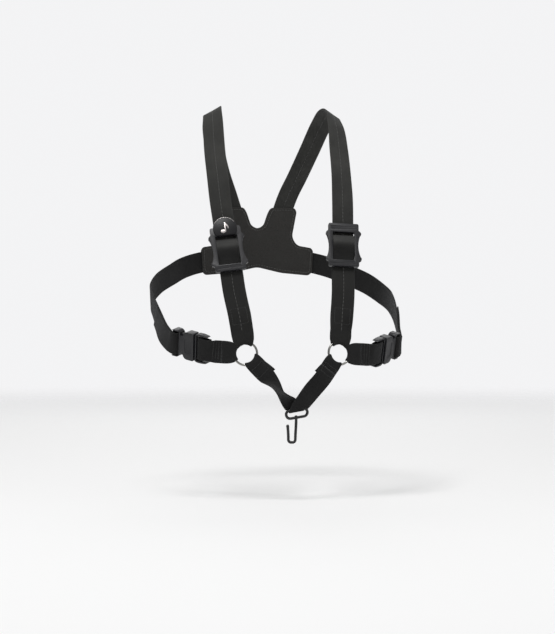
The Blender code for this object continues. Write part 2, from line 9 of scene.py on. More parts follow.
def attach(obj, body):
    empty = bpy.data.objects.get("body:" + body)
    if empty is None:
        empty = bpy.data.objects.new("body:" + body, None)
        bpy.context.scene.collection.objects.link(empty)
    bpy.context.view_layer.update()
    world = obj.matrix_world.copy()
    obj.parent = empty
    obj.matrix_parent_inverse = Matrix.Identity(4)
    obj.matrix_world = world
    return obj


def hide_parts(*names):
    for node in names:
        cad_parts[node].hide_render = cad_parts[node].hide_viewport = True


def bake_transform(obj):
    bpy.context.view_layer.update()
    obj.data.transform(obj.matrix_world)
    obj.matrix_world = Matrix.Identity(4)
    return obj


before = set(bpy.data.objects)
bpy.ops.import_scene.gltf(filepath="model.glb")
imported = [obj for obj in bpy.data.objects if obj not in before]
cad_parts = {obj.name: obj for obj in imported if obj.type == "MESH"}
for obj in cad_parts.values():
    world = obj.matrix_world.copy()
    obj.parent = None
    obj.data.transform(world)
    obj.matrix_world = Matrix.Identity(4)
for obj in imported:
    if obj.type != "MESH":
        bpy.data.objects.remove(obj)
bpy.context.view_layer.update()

# Looks of the saxophone harness. Lengths below are in millimetres unless a name says otherwise.
# "left" is -X and "right" is +X; the right side's numbers are given and the left mirrors them.

MM = 0.001
SIDES = {"left": -1, "right": 1}
GAP = 0.3
LAYER_GAP = 0.25  # between two layers of webbing
WIRE_GAP = 0.12  # between webbing and the wire it is folded round
STEP = 2.4  # between the rows of a strap

BAND_THICK = 1.8
UPPER_WIDTH = 24.2
LOWER_WIDTH = 24.8
STRAP_THICK = 1.4
STRAP_WIDTH = 25.0
V_THICK = 1.3
V_WIDTH = 20.0

RING_RADIUS = 12.75
RING_WIRE = 1.25
RING_CENTRE = (52.6, -113, -277)
RING_FACE = (0.201, -0.966, 0.161)
RING_UP = (0.116, 0.185, 0.976)
BAND_REACH = 27  # how far from a ring's centre each webbing is flat
CHEST_REACH = 26
V_REACH = 23

SLIDE_TOP = (70.8, -52, -104)
SLIDE_LOW = (62.3, -94, -207)
ABOVE_RING = (57.6, -105.5, -238)
SLIDER_AT = {"left": 0.568, "right": 0.515}
SLIDER_SPLAY = {"left": (0.105, -1, 0.1), "right": (-0.085, -1, 0.1)}
SLIDER_THICK = 4.3
WINDOW = ((-12.4, 15.9), (12.4, 15.9), (12.4, -18.9), (-12.4, -18.9))
WEAVE_THICK = 1.25
WEAVE_WIDTH = 24.4
BADGE_UP = 24.6
BADGE_RADIUS = 13.45
BADGE_FOOT = math.degrees(math.asin(8.7 / 13.5))  # where the disc is cut off below

DRAWN = 1.08  # buckle drawings are 30 mm wide and the buckles 32 mm
MOUTH = {"left": (104.1, -91.9, -269.8), "right": (106.4, -92, -274.4)}
BUCKLE_AXIS = (0.72, 0.66, 0.21)
BUCKLE_FACE = (0.692, -0.674, -0.254)
MALE_BAR = -6.4
PRONG_ROOT = 8.3
MALE_TURN = 3.05  # radius that the chest strap turns on round the bar

HOOK_PLACE = (4.0, -113, -338.6)
EYE_TILT = math.radians(9)
HOOK_WIRE = 1.55
EYE_HALF = 7.5  # half the eye's straight side
EYE_BEND = 4.5
HOOK_BOWL = -33.2
YOKE_Y = 103.0
YOKE_GAP = 1.3
YOKE_THICK = {"outer": 2.2, "lining": 1.5}

# The left half of the V is twisted: how much of its width faces forward, from the hook (0) to the ring (1)
V_TWIST_AT = (0, 0.12, 0.28, 0.4, 0.48, 0.66, 0.84, 1)
V_TWIST_SHOWN = (1, 1, 0.5, 0.2, 0.22, 0.66, 0.97, 1)
FOLD_REACH = 4  # rows of the V strap that turn to lie along the hook's eye
LAYER_SLIP = 1.9  # a sewn layer that doesn't lie quite square on the one in front

# Where the columns of a strap lie across it, from one edge to the other
COLUMNS = np.array([-1, -0.985, -0.95, -0.89, -0.78, -0.6, -0.4, -0.2, -0.07, 0])
COLUMNS = np.concatenate([COLUMNS, -COLUMNS[:-1][::-1]])
MIDDLE = len(COLUMNS) // 2


def vec(values):
    return np.array(values, float)


def unit(v):
    return v / np.linalg.norm(v)


def square(v, normal):
    """The part of v that is square to a unit normal, at unit length."""
    return unit(v - normal * (v @ normal))


def distances(points):
    """How far along a line each of its points lies."""
    return np.concatenate([[0], np.cumsum(np.linalg.norm(np.diff(points, axis=0), axis=1))])


def mirrored(values, side):
    return vec(values) * (side, 1, 1)


def side_name(side):
    return "left" if side < 0 else "right"


# ---------------------------------------------------------------- materials


class Nodes:
    """Short calls for building a material's node tree."""

    def __init__(self, name):
        self.material = bpy.data.materials.new(name)
        self.material.use_nodes = True
        self.tree = self.material.node_tree
        self.shader = self.tree.nodes["Principled BSDF"]

    def add(self, kind, **settings):
        node = self.tree.nodes.new(kind)
        for key, value in settings.items():
            setattr(node, key, value)
        return node

    def link(self, a, b):
        self.tree.links.new(a, b)

    def feed(self, socket, value):
        if isinstance(value, bpy.types.NodeSocket):
            self.link(value, socket)
        else:
            socket.default_value = value

    def math(self, operation, a, b=0.0, c=0.0):
        node = self.add("ShaderNodeMath", operation=operation)
        for socket, value in zip(node.inputs, (a, b, c)):
            self.feed(socket, value)
        return node.outputs[0]

    def span(self, value, low, high, start=0.0, end=1.0, **settings):
        """value carried from low..high to start..end."""
        node = self.add("ShaderNodeMapRange", **settings)
        for socket, number in zip(node.inputs, (value, low, high, start, end)):
            self.feed(socket, number)
        return node.outputs[0]

    def mix(self, factor, a, b):
        node = self.add("ShaderNodeMix", data_type="RGBA")
        self.feed(node.inputs[0], factor)
        for socket, value in ((node.inputs[6], a), (node.inputs[7], b)):
            self.feed(socket, (*value, 1) if isinstance(value, tuple) else value)
        return node.outputs[2]

    def noise(self, scale, detail=3.0, vector=None, roughness=0.55):
        node = self.add("ShaderNodeTexNoise")
        node.inputs["Scale"].default_value = scale
        node.inputs["Detail"].default_value = detail
        node.inputs["Roughness"].default_value = roughness
        self.link(vector or self.place(), node.inputs["Vector"])
        return node.outputs[0]

    def place(self):
        return self.add("ShaderNodeTexCoord").outputs["Object"]

    def wear(self):
        return self.add("ShaderNodeAttribute", attribute_name="wear").outputs["Fac"]

    def across_along(self):
        """Millimetres across and along a strap, from its UV map."""
        uv = self.add("ShaderNodeUVMap", uv_map="strap")
        parts = self.add("ShaderNodeSeparateXYZ")
        self.link(uv.outputs[0], parts.inputs[0])
        return parts.outputs[0], parts.outputs[1]

    def bump(self, height, strength, distance):
        node = self.add("ShaderNodeBump")
        node.inputs["Strength"].default_value = strength
        node.inputs["Distance"].default_value = distance
        self.link(height, node.inputs["Height"])
        self.link(node.outputs[0], self.shader.inputs["Normal"])

    def finish(self, **inputs):
        for key, value in inputs.items():
            self.feed(self.shader.inputs[key.replace("_", " ")], value)
        return self.material


def webbing(name, dark, light, rib=1.5, pick=1.1, pale=None):
    """Woven nylon: ribs along the strap, crossed by the weft, in a chevron twill. Bands are painted paler
    higher up, over the wearer's shoulders, than down by the rings: painted light from above and painted shade
    below. A weave is painted pale down to the crest of its bar, where it faces the light, and darker past it:
    painted highlight and shade."""
    n = Nodes(name)
    u, v = n.across_along()
    if pale:
        parts = n.add("ShaderNodeSeparateXYZ")
        n.link(n.place(), parts.inputs[0])
        # sun is painted light: by height on a band, and down to the crest on a weave; where it is low the
        # colours are darkened as painted shade
        sun = n.math("POWER", n.span(parts.outputs[2] if pale == PAINTED_LIGHT_HEIGHTS else v, *pale), 2.0)
        dark, light = (
            n.mix(sun, *(tuple(c * strength for c in shade) for strength in PAINTED_LIGHT_GAIN)) for shade in (dark, light)
        )
    turn = n.math("SINE", n.math("MULTIPLY", u, math.tau / (rib * 4)))
    lean = n.math("MULTIPLY", n.math("SIGN", turn), v)
    ribs = n.math("MULTIPLY", u, math.tau / rib)
    wale = n.math("SINE", n.math("ADD", ribs, n.math("MULTIPLY", lean, math.tau / 3)))
    weft = n.math("SINE", n.math("MULTIPLY", v, math.tau / pick))
    height = n.math("ADD", n.math("MULTIPLY", wale, 0.55), n.math("MULTIPLY", weft, 0.35))
    fuzz = n.noise(1400, 2)
    height = n.math("ADD", height, n.math("MULTIPLY", fuzz, 0.8))
    lit = n.math("MULTIPLY_ADD", height, 0.28, 0.3)
    patch = n.noise(38, 4)
    lit = n.math("ADD", lit, n.math("MULTIPLY_ADD", patch, 0.7, -0.35))
    lit = n.math("ADD", lit, n.math("MULTIPLY", n.wear(), 0.5))
    lit_node = n.add("ShaderNodeClamp")
    n.link(lit, lit_node.inputs[0])
    colour = n.mix(lit_node.outputs[0], dark, light)
    n.bump(height, 0.5, 0.00022)
    return n.finish(
        Base_Color=colour,
        Roughness=0.82,
        Specular_IOR_Level=0.22,
        Sheen_Weight=0.14,
        Sheen_Roughness=0.5,
        Sheen_Tint=(0.5, 0.5, 0.52, 1),
    )


def thread_finish(name, colour):
    n = Nodes(name)
    twist = n.noise(2600, 1)
    n.bump(twist, 0.4, 0.0001)
    shade = n.mix(twist, colour, tuple(c * 1.7 for c in colour))
    return n.finish(Base_Color=shade, Roughness=0.6, Sheen_Weight=0.2)


def plastic(name, colour, roughness, worn, grain=0.35, gloss=0.5):
    """Moulded plastic: a fine eroded grain, faint flow marks, and edges rubbed shiny and pale."""
    n = Nodes(name)
    grit = n.noise(2600, 3)
    flow = n.noise(55, 4)
    edge = n.wear()
    shade = n.mix(n.math("MULTIPLY", flow, 0.5), colour, tuple(c * 1.35 for c in colour))
    shade = n.mix(n.math("MULTIPLY", edge, 0.55), shade, worn)
    rough = n.math("MULTIPLY_ADD", flow, 0.16, roughness - 0.08)
    rough = n.math("ADD", rough, n.math("MULTIPLY", edge, -0.12))
    n.bump(n.math("ADD", grit, n.math("MULTIPLY", flow, 0.6)), grain, 0.00012)
    return n.finish(Base_Color=shade, Roughness=rough, Specular_IOR_Level=gloss)


def metal(name, colour, roughness):
    n = Nodes(name)
    haze = n.noise(160, 5)
    scratch = n.noise(2200, 2)
    rough = n.math("ADD", n.math("MULTIPLY", haze, 0.16), roughness - 0.06)
    shade = n.mix(n.math("MULTIPLY", haze, 0.5), colour, tuple(c * 0.8 for c in colour))
    n.bump(scratch, 0.12, 0.00005)
    return n.finish(Base_Color=shade, Metallic=1.0, Roughness=rough)


def leather(name, colour, crease, scale, roughness):
    """Grained leather: cells parted by creases, with pores and rubbed edges."""
    n = Nodes(name)
    cells = n.add("ShaderNodeTexVoronoi", feature="DISTANCE_TO_EDGE")
    cells.inputs["Scale"].default_value = scale
    warp = n.noise(scale * 0.4, 3)
    place = n.add("ShaderNodeVectorMath", operation="ADD")
    n.link(n.place(), place.inputs[0])
    shift = n.add("ShaderNodeVectorMath", operation="SCALE")
    n.link(warp, shift.inputs[0])
    shift.inputs["Scale"].default_value = 0.0012
    n.link(shift.outputs[0], place.inputs[1])
    n.link(place.outputs[0], cells.inputs["Vector"])
    plump = n.span(cells.outputs["Distance"], 0.0, 0.22)
    pore = n.noise(scale * 5, 2)
    height = n.math("ADD", plump, n.math("MULTIPLY", pore, 0.3))
    # The grain's creases take the crease colour: painted shade in the creases
    shade = n.mix(plump, crease, colour)
    shade = n.mix(n.math("MULTIPLY", n.wear(), 0.5), shade, tuple(c * 2.4 for c in colour))
    n.bump(height, 0.6, 0.00025)
    rough = n.math("MULTIPLY_ADD", pore, 0.14, roughness)
    return n.finish(Base_Color=shade, Roughness=rough, Specular_IOR_Level=0.4)


# Painted light on the bands: paler higher up and darker lower down, between these heights
PAINTED_LIGHT_HEIGHTS = (-0.26, -0.07)  # heights in metres
# Painted highlight on a weave down to the crest of its bar, and painted shade past it
CREST_PAINTED_LIGHT_SPAN = (17.5, 11)  # millimetres down a weave
# How far the painted shade darkens and the painted light brightens the webbing colours
PAINTED_LIGHT_GAIN = (0.5, 1.8)
BAND = webbing("band webbing", (0.009, 0.009, 0.0085), (0.034, 0.034, 0.0315), 1.7, 1.2, PAINTED_LIGHT_HEIGHTS)
WEAVE = webbing("weave webbing", (0.008, 0.008, 0.0078), (0.036, 0.036, 0.0345), 1.7, 1.2, CREST_PAINTED_LIGHT_SPAN)
STRAP = webbing("strap webbing", (0.004, 0.004, 0.0042), (0.015, 0.015, 0.0145), 1.3, 1.0)
THREAD = thread_finish("band thread", (0.05, 0.05, 0.048))
DARK_THREAD = thread_finish("strap thread", (0.012, 0.012, 0.012))
PLASTIC = plastic("moulded acetal", (0.010, 0.010, 0.0118), 0.4, (0.04, 0.04, 0.045), 0.35, 0.42)
GLOSS = plastic("badge face", (0.006, 0.006, 0.007), 0.34, (0.03, 0.03, 0.034), 0.04, 0.25)
STEEL = metal("nickel plated wire", (0.32, 0.316, 0.3), 0.22)
SILVER = metal("silver foil", (0.52, 0.485, 0.475), 0.4)
COATED = plastic("black coating", (0.006, 0.006, 0.0065), 0.3, (0.03, 0.03, 0.032), 0.18)
# Each leather's second colour is the painted shade in its grain creases
HIDE = leather("grained leather", (0.016, 0.015, 0.014), (0.005, 0.005, 0.005), 620, 0.46)
SUEDE = leather("split leather", (0.03, 0.029, 0.027), (0.014, 0.013, 0.012), 900, 0.8)

# ---------------------------------------------------------------- mesh helpers


def linked(name, data):
    thing = bpy.data.objects.new(name, data)
    bpy.context.scene.collection.objects.link(thing)
    return thing


def add(name, mesh, finish, body, replaced=(), smooth_angle=None):
    thing = linked(name, mesh)
    mesh.materials.clear()
    mesh.materials.append(finish)
    mesh.shade_smooth()
    if smooth_angle:
        mesh.set_sharp_from_angle(angle=math.radians(smooth_angle))
    if body:
        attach(thing, body)
    if replaced:
        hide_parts(*replaced)
    return thing


def mesh_from(name, points, faces):
    mesh = bpy.data.meshes.new(name)
    mesh.from_pydata((np.asarray(points) * MM).tolist(), [], faces)
    mesh.update()
    return mesh


def read(items, name, width, kind=float):
    """One value or vector of every item, as rows."""
    found = np.zeros(len(items) * width, kind)
    items.foreach_get(name, found)
    return found.reshape(-1, width)


def mark_wear(mesh, gain=1.0):
    """Stores how convex each point is, for rubbed edges."""
    co, no = read(mesh.vertices, "co", 3), read(mesh.vertices, "normal", 3)
    a, b = read(mesh.edges, "vertices", 2, int).T
    step = co[b] - co[a]
    length = np.linalg.norm(step, axis=1) + 1e-9
    total, weight = np.zeros(len(co)), np.zeros(len(co))
    for here, sign in ((a, 1), (b, -1)):
        np.add.at(total, here, -(step * sign * no[here]).sum(1) / length)
        np.add.at(weight, here, 1)
    wear = np.clip(total / np.maximum(weight, 1) * 2.2 * gain, 0, 1)
    layer = mesh.attributes.new("wear", "FLOAT", "POINT")
    layer.data.foreach_set("value", wear.astype(np.float32))


# ---------------------------------------------------------------- webbing


def station(place, facing, width):
    return np.array([*place, *facing, width], float)


def keyed(rows, width, side):
    mirror = np.array([side, 1, 1, side, 1, 1, 1])
    return [station(place, facing, width) * mirror for place, facing in rows]


def smooth(keys, step=STEP):
    """Stations along a smooth curve through the key stations."""
    keys = np.array(keys)
    along = distances(keys[:, :3])
    slope = np.gradient(keys, along, axis=0)
    found = []
    for i, length in enumerate(np.diff(along)):
        steps = max(1, math.ceil(length / step))
        for k in range(steps):
            t = k / steps
            found.append(
                (2 * t**3 - 3 * t**2 + 1) * keys[i]
                + (t**3 - 2 * t**2 + t) * length * slope[i]
                + (3 * t**2 - 2 * t**3) * keys[i + 1]
                + (t**3 - t**2) * length * slope[i + 1]
            )
    return [*found, keys[-1]]


def rows_of(stations, twist=None):
    """Rows of points across a strap. twist turns each row about the strap's own line."""
    stations = np.array(stations)
    places = stations[:, :3]
    ahead = np.gradient(places, axis=0)
    rows = []
    for i, (row, forward) in enumerate(zip(stations, ahead)):
        forward = unit(forward)
        normal = square(row[3:6], forward)
        across = np.cross(forward, normal)
        if twist is not None:
            across = across * math.cos(twist[i]) + normal * math.sin(twist[i])
        rows.append(row[:3] + np.outer(COLUMNS * row[6] / 2, across))
    return rows


def ring_frame(side):
    facing = unit(mirrored(RING_FACE, side))
    return mirrored(RING_CENTRE, side), square(mirrored(RING_UP, side), facing), facing


def ring_rows(side, toward, thick, width, spread, reach, lift=0.0):
    """Rows of a strap that turns round its ring at full width, following the ring's curve: from the flat
    strap in front to the wire, round the wire, and from it to the flat layer behind. spread is the half
    angle that the strap covers, reach how far from the centre it is flat, and lift a crease beside it."""
    centre, _, facing = ring_frame(side)
    toward = square(toward, facing)
    across = np.cross(facing, toward)
    hold = RING_WIRE + WIRE_GAP + thick / 2
    close = (thick + LAYER_GAP) / 2
    angles = COLUMNS * spread
    rim = np.outer(np.cos(angles), toward) + np.outer(np.sin(angles), across)
    flat = np.outer(COLUMNS * width / 2, across)
    raised = np.zeros(len(COLUMNS)) + lift

    def layer(sign):
        start = centre + toward * reach + flat + facing * close * sign
        end = centre + rim * RING_RADIUS + facing * hold * sign
        found = []
        steps = max(3, math.ceil((reach - RING_RADIUS) / STEP))
        for k in range(steps):
            t = k / steps
            ease = t * t * (3 - 2 * t)
            row = start * (1 - t) + end * t
            row += facing * sign * (hold - close) * (ease - t)
            pull = np.outer(np.sin(angles) * RING_RADIUS - COLUMNS * width / 2, across)
            row += pull * (t**3 - t)
            row += np.outer(raised, facing) * sign * math.sin(math.pi * min(1, t * 1.15)) ** 2
            found.append(row)
        return found

    turn = []
    for angle in np.linspace(0, math.pi, 13):
        turn.append(centre + rim * (RING_RADIUS - hold * math.sin(angle)) + facing * hold * math.cos(angle))
    return layer(1), turn, layer(-1)[::-1]


class Strap:
    """A closed, rounded strip of webbing through rows of points, that stitching can be laid on."""

    def __init__(self, name, rows, thick, finish, body, slot, replaced=(), channel=0.0, seed=0.0, bead=0.12):
        grid = np.array(rows)
        self.along = distances(grid[:, MIDDLE])
        self.half = half = np.linalg.norm(grid[:, -1] - grid[:, 0], axis=1) / 2
        forward = np.gradient(grid, axis=0)
        across = np.gradient(grid, axis=1)
        normal = np.cross(across, forward)
        normal /= np.linalg.norm(normal, axis=2, keepdims=True) + 1e-12
        u = COLUMNS[None, :] * half[:, None]
        v = np.repeat(self.along[:, None], len(COLUMNS), axis=1)
        wave = 0.10 * np.sin(v / 13.7 + u / 9.0 + seed) + 0.07 * np.sin(v / 6.1 - u / 5.0 + 2.1 * seed)
        flat = np.clip(1 - np.abs(COLUMNS), 0, 1)[None, :]
        grid = grid + normal * (wave * np.minimum(1, flat * 6))[:, :, None]
        inset = (1 - np.abs(COLUMNS))[None, :] * half[:, None] / (thick / 2)
        round_edge = np.sqrt(np.clip(1 - (1 - np.clip(inset, 0, 1)) ** 2, 0, 1))
        thickness = thick / 2 * round_edge
        thickness = thickness * (1 + bead * np.exp(-((np.abs(u) - half[:, None] + 1.4) / 0.7) ** 2))
        thickness = thickness * (1 - channel * np.exp(-((u / 1.1) ** 2)))
        self.normal = normal
        self.top = grid + normal * thickness[:, :, None]
        self.bottom = grid - normal * thickness[:, :, None]
        self.body, self.slot = body, slot
        rows_n, cols = len(grid), len(COLUMNS)
        points = np.concatenate([self.top.reshape(-1, 3), self.bottom[:, 1:-1].reshape(-1, 3)])

        def top(i, j):
            return i * cols + j

        def low(i, j):
            if j in (0, cols - 1):
                return top(i, j)
            return rows_n * cols + i * (cols - 2) + j - 1

        faces = []
        for i in range(rows_n - 1):
            for j in range(cols - 1):
                faces.append((top(i, j), top(i, j + 1), top(i + 1, j + 1), top(i + 1, j)))
                faces.append((low(i, j), low(i + 1, j), low(i + 1, j + 1), low(i, j + 1)))
        for i, flip in ((0, True), (rows_n - 1, False)):
            for j in range(cols - 1):
                loop = list(dict.fromkeys([top(i, j), top(i, j + 1), low(i, j + 1), low(i, j)]))
                faces.append(tuple(loop[::-1] if flip else loop))
        mesh = mesh_from(name, points, faces)
        uv = mesh.uv_layers.new(name="strap")
        places = np.stack([np.concatenate([w.reshape(-1), w[:, 1:-1].reshape(-1)]) for w in (u, v)], 1)
        index = read(mesh.loops, "vertex_index", 1, int)[:, 0]
        uv.data.foreach_set("uv", places[index].reshape(-1))
        mark_wear(mesh, gain=0.6)
        self.thing = add(name, mesh, finish, body, replaced)

    def spot(self, u, v, below=False):
        """The point u millimetres from the middle and v along, with the outward normal."""
        i = int(np.clip(np.searchsorted(self.along, v) - 1, 0, len(self.along) - 2))
        t = (v - self.along[i]) / max(self.along[i + 1] - self.along[i], 1e-9)
        surface = self.bottom if below else self.top

        def on_row(r):
            c = np.clip(u / self.half[r], -0.999, 0.999)
            j = int(np.clip(np.searchsorted(COLUMNS, c) - 1, 0, len(COLUMNS) - 2))
            s = (c - COLUMNS[j]) / (COLUMNS[j + 1] - COLUMNS[j])
            place = surface[r, j] * (1 - s) + surface[r, j + 1] * s
            normal = self.normal[r, j] * (1 - s) + self.normal[r, j + 1] * s
            return place, normal

        (a, na), (b, nb) = on_row(i), on_row(i + 1)
        normal = unit(na * (1 - t) + nb * t) * (-1 if below else 1)
        return a * (1 - t) + b * t, normal


def stitches(name, strap, paths, pitch, size, finish=THREAD, below=False, rise=0.16):
    """Rows of thread laid on a strap. Each path is a list of (across, along) corners."""
    sides = 6
    spans = np.array([-1, -0.72, 0, 0.72, 1])
    girth = np.array([0.3, 0.85, 1, 0.85, 0.3])
    points, faces = [], []
    for path in paths:
        for (u0, v0), (u1, v1) in zip(path, path[1:]):
            length = math.hypot(u1 - u0, v1 - v0)
            count = max(1, round(length / pitch))
            for k in range(count):
                spots = []
                for s in spans:
                    t = (k + 0.5 + s * 0.39) / count
                    spots.append(strap.spot(u0 + (u1 - u0) * t, v0 + (v1 - v0) * t, below))
                base = len(points)
                ends = spots[-1][0] - spots[0][0]
                if np.linalg.norm(ends) < 1e-6:
                    continue
                forward = unit(ends)
                for (place, normal), s, g in zip(spots, spans, girth):
                    normal = square(normal, forward)
                    side = np.cross(forward, normal)
                    middle = place + normal * rise * (1 - 1.9 * s * s)
                    for q in range(sides):
                        a = math.tau * q / sides
                        points.append(middle + (side * math.cos(a) + normal * math.sin(a)) * size / 2 * g)
                for r in range(len(spans) - 1):
                    for q in range(sides):
                        n = (q + 1) % sides
                        one, two = base + r * sides, base + (r + 1) * sides
                        faces.append((one + q, two + q, two + n, one + n))
                faces.append(tuple(base + q for q in range(sides)))
                last = base + (len(spans) - 1) * sides
                faces.append(tuple(last + q for q in reversed(range(sides))))
    mesh = mesh_from(name, points, faces)
    tidy = bmesh.new()
    tidy.from_mesh(mesh)
    bmesh.ops.recalc_face_normals(tidy, faces=tidy.faces)
    tidy.to_mesh(mesh)
    tidy.free()
    return add(name, mesh, finish, strap.body)


def box_stitch(half, start, end):
    return [[(-half, start), (half, start), (half, end), (-half, end), (-half, start)]]


def turned_over(rows, offset):
    """A second layer: the rows moved along their normals, listed backwards."""
    grid = np.array(rows)
    normal = np.cross(np.gradient(grid, axis=1), np.gradient(grid, axis=0))
    normal /= np.linalg.norm(normal, axis=2, keepdims=True)
    return list((grid + normal * offset)[::-1])


def aligned(layers, like):
    """Layers of rows, every row turned end for end if the first doesn't run the way that like does."""
    first = layers[0][0]
    if np.dot(first[-1] - first[0], like[-1] - like[0]) < 0:
        return [[row[::-1] for row in rows] for rows in layers]
    return layers


def slide_frame(side):
    top = mirrored(SLIDE_TOP, side)
    low = mirrored(SLIDE_LOW, side)
    up = unit(top - low)
    facing = square(mirrored(SLIDER_SPLAY[side_name(side)], side), up)
    return top + (low - top) * SLIDER_AT[side_name(side)], up, facing


def shoulder_band(name, side):
    back_keys = [
        ((22, 103, -138), (0, 1, 0)),
        ((27, 103, -121), (0, 1, 0)),
        ((32, 103, -105), (0, 1, 0)),
        ((34, 102.8, -99), (0, 1, 0.03)),
        ((38, 101, -88), (0.04, 0.96, 0.24)),
        ((46.5, 92, -68), (0.15, 0.85, 0.5)),
        ((58, 70, -36), (0.3, 0.62, 0.72)),
        ((66, 43, -9), (0.44, 0.3, 0.85)),
        ((69, 20, 1.1), (0.5, 0, 0.866)),
        ((71, 4, 0.63), (0.5, 0, 0.866)),
        ((72.3, -9, -12), (0.45, -0.5, 0.74)),
        ((72.9, -24, -44), (0.25, -0.87, 0.42)),
        ((72.0, -41, -78), (0.14, -0.92, 0.38)),
    ]
    _, up, facing = slide_frame(side)
    top, low = (mirrored(spot, side) - facing * 1.0 for spot in (SLIDE_TOP, SLIDE_LOW))
    straight = [station(top, facing, UPPER_WIDTH)]
    straight += [station(top + (low - top) * t, facing, UPPER_WIDTH) for t in (0.25, 0.5)]
    straight += [station(top + (low - top) * t, facing, LOWER_WIDTH) for t in (0.62, 0.8, 1)]
    middle = station(mirrored(ABOVE_RING, side), facing, LOWER_WIDTH)
    ring_centre, ring_up, ring_face = ring_frame(side)
    crease = 0.9 * np.clip(COLUMNS * -1, 0, 1) ** 2
    layers = ring_rows(side, ring_up, BAND_THICK, LOWER_WIDTH, 0.84, BAND_REACH, crease)
    place = ring_centre + ring_up * BAND_REACH + ring_face * (BAND_THICK + LAYER_GAP) / 2
    meeting = station(place, ring_face, LOWER_WIDTH)
    stations = smooth([*keyed(back_keys, UPPER_WIDTH, side), *straight, middle, meeting])
    rows = rows_of(stations)
    count = sum(1 for s in stations if (s[:3] - low) @ up < (top - low) @ up * 0.42)
    front, turn, back = aligned(layers, rows[-2])
    lower = turned_over(rows[-count:], -BAND_THICK - LAYER_GAP)
    across = unit(rows[-1][-1] - rows[-1][0])
    settle = np.clip(np.arange(len(lower)) / 8, 0, 1)
    lower = [row + across * 0.9 * s * side for row, s in zip(lower, settle)]
    band = Strap(
        f"{name}_shoulder_webbing", rows[:-1] + front + turn + back[1:-1] + lower, BAND_THICK, BAND, "root",
        "band_webbing", [f"{name}_shoulder_band"], channel=0.28, seed=side,
    )
    total = distances(np.array(stations)[:, :3])[-1]
    stitches(f"{name}_band_stitching", band, [[(0, 34), (0, total + 2)]], 4.6, 0.62)
    box = box_stitch(8.6, total - 24, total - 6)
    stitches(f"{name}_band_ring_stitching", band, box, 2.6, 0.45, DARK_THREAD)
    stitches(f"{name}_band_inner_stitching", band, [[(0, 34), (0, total - 20)]], 4.6, 0.5, THREAD, True)


def buckle_frame(side):
    axis = unit(mirrored(BUCKLE_AXIS, side))
    facing = square(mirrored(BUCKLE_FACE, side), axis)
    up = np.cross(facing, axis) * side
    return mirrored(MOUTH[side_name(side)], side), axis, unit(up), facing


def in_buckle(side, x, y, z):
    """A place given in a buckle's drawing."""
    mouth, axis, up, facing = buckle_frame(side)
    return mouth + (axis * x + up * y + facing * z) * DRAWN


def half_turn(centre, apex, normal, radius, width, steps=10, advance=0.0):
    """Stations from one side of a bar round to the other, moving along it by advance."""
    found = []
    for k in range(steps + 1):
        angle = math.pi * k / steps
        out = normal * math.cos(angle) + apex * math.sin(angle)
        place = centre + out * radius + advance * (k / steps - 0.5)
        found.append(station(place, out, width))
    return found


def chest_strap(name, side):
    """From the ring over the front of the male half, down through it at the mouth and back behind."""
    _, axis, _, facing = buckle_frame(side)
    bar = in_buckle(side, MALE_BAR, 0, 0)
    centre, _, ring_face = ring_frame(side)
    toward = square(bar - axis * 15 - centre, ring_face)
    layers = ring_rows(side, toward, STRAP_THICK, STRAP_WIDTH, 0.76, CHEST_REACH)
    place = centre + toward * CHEST_REACH + ring_face * (STRAP_THICK + LAYER_GAP) / 2
    meeting = station(place, ring_face, STRAP_WIDTH)

    def layer(way, spots):
        return [station(bar - axis * x + way * z, way, STRAP_WIDTH) for x, z in spots]

    far = half_turn(bar, axis, facing, MALE_TURN, STRAP_WIDTH)
    run = rows_of(smooth([meeting, *layer(facing, ((13, 1.7), (9, 2.4), (4, 3.0))), far[0]]))
    tail = rows_of(smooth([far[-1], *layer(-facing, ((4, 2.9), (9, 2.2), (12, 1.9)))]))
    front, turn, back = aligned(layers, run[0])
    inner = turned_over(run[:4], -STRAP_THICK - 0.4)
    rows = inner[:-1] + back[::-1] + turn[::-1][1:] + front[::-1][1:] + run + rows_of(far)[1:] + tail[1:]
    strap = Strap(
        f"{name}_chest_webbing", rows, STRAP_THICK, STRAP, "root", "strap_webbing",
        [f"{name}_chest_strap"], seed=side + 3,
    )
    start = strap.along[len(inner) - 1 + len(back) + len(turn) - 1]
    ribs = [[(-10.6, start + d), (10.6, start + d)] for d in (9.5, 12.5, 15.5, 18.5)]
    stitches(f"{name}_chest_stitching", strap, ribs, 1.9, 0.5, DARK_THREAD)


